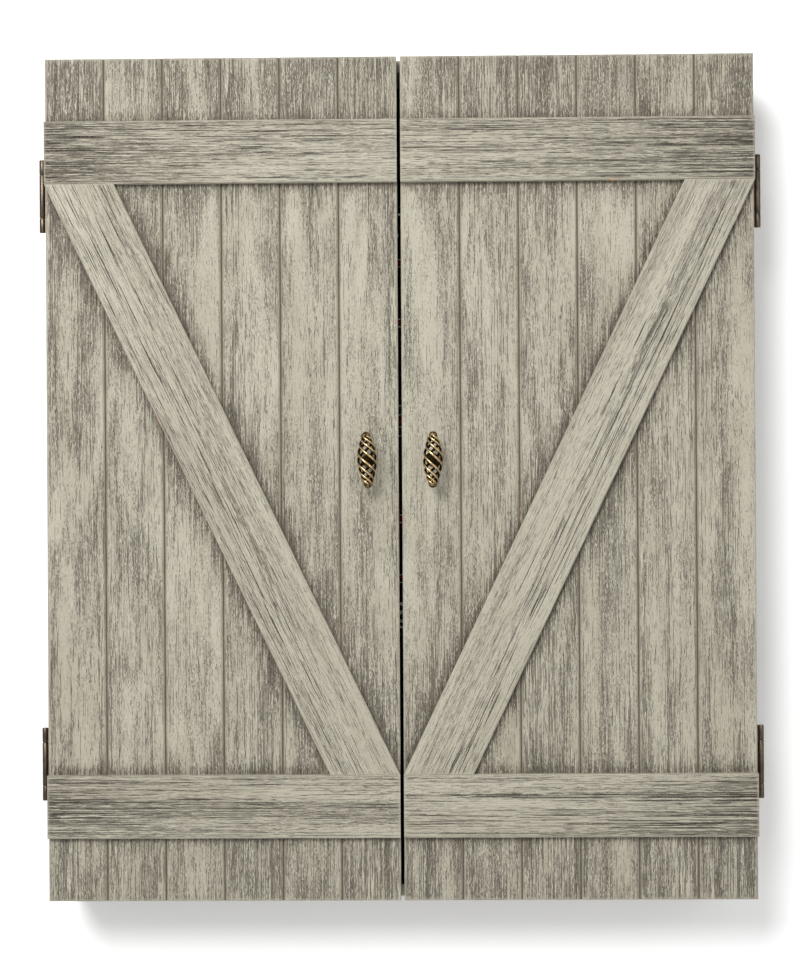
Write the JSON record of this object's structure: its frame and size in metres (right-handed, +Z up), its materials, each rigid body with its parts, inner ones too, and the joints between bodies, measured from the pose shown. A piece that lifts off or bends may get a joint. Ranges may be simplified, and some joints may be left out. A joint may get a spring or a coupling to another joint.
{
  "type": "dart board cabinet",
  "caption": "Wall-hung cabinet with two barn-style plank doors on side hinges, opening to scoreboards, dart racks and a dart board on a lift-off bracket.",
  "frame": {"origin": "middle of the four wall screw holes, on the wall plane at the back of the cabinet", "axes": "+Z up, +Y into the wall, so the doors face -Y, +X to the right as seen from the front"},
  "size_m": [0.748, 0.1562, 0.867],
  "materials": {
    "plank_paint": "weathered grey-green paint over grain",
    "rail_paint": "weathered grey-green paint over grain",
    "box_wood": "weathered grey paint",
    "raw_wood": "unfinished plywood and pine",
    "black_felt": "black felt",
    "antique_brass": "antique brass, dark in the recesses",
    "antique_bronze": "brushed antique bronze",
    "screw_steel": "zinc-plated steel",
    "bracket_paint": "black powder coat",
    "black_plastic": "matte black",
    "chalkboard": "chalkboard paint on hardboard",
    "sisal": "dyed sisal in black, natural, red and green",
    "board_core": "dark chipboard",
    "band_steel": "black steel strip",
    "blade_steel": "galvanised steel",
    "foot_rubber": "black rubber"
  },
  "bodies": {
    "left_door": {"left_plank_1": "plank_paint", "left_plank_2": "plank_paint", "left_plank_3": "plank_paint", "left_plank_4": "plank_paint", "left_plank_5": "plank_paint", "left_plank_6": "plank_paint", "left_top_rail": "rail_paint", "left_bottom_rail": "rail_paint", "left_brace": "rail_paint", "left_handle_cage": "antique_brass", "left_handle_post": "antique_brass", "left_upper_door_leaf": "antique_bronze", "left_lower_door_leaf": "antique_bronze", "left_door_screws": "screw_steel", "left_strike_plate": "screw_steel", "left_dart_rack": "black_plastic", "left_scoreboard": "chalkboard"},
    "right_door": {"right_plank_1": "plank_paint", "right_plank_2": "plank_paint", "right_plank_3": "plank_paint", "right_plank_4": "plank_paint", "right_plank_5": "plank_paint", "right_plank_6": "plank_paint", "right_top_rail": "rail_paint", "right_bottom_rail": "rail_paint", "right_brace": "rail_paint", "right_handle_cage": "antique_brass", "right_handle_post": "antique_brass", "right_upper_door_leaf": "antique_bronze", "right_lower_door_leaf": "antique_bronze", "right_door_screws": "screw_steel", "right_strike_plate": "screw_steel", "right_dart_rack": "black_plastic", "right_scoreboard": "chalkboard"},
    "cabinet": {"left_side": "box_wood", "right_side": "box_wood", "top_board": "box_wood", "bottom_board": "box_wood", "top_hanging_rail": "raw_wood", "bottom_hanging_rail": "raw_wood", "back_panel": "raw_wood", "felt_liner": "black_felt", "left_upper_frame_leaf": "antique_bronze", "left_lower_frame_leaf": "antique_bronze", "right_upper_frame_leaf": "antique_bronze", "right_lower_frame_leaf": "antique_bronze", "hinge_pins": "antique_bronze", "carcass_screws": "screw_steel", "fitting_screws": "screw_steel", "catch_magnets": "screw_steel", "board_bracket": "bracket_paint", "catch_housings": "black_plastic"},
    "dartboard": {"hanging_screw": "screw_steel", "board_face": "sisal", "board_backing": "board_core", "board_band": "band_steel", "board_spider": "blade_steel", "number_ring": "blade_steel", "board_feet": "foot_rubber"}
  },
  "joints": [
    {"name": "left_door_hinge", "type": "hinge", "parent": "cabinet", "child": "left_door", "pos_m": [-0.3709, -0.101, 0], "axis": [0, 0, -1], "range_deg": [0, 180]},
    {"name": "right_door_hinge", "type": "hinge", "parent": "cabinet", "child": "right_door", "pos_m": [0.3709, -0.101, 0], "axis": [0, 0, 1], "range_deg": [0, 180]},
    {"name": "board_lift", "type": "slide", "parent": "cabinet", "child": "dartboard", "axis": [0, 0, 1], "range_m": [0, 0.025]}
  ]
}
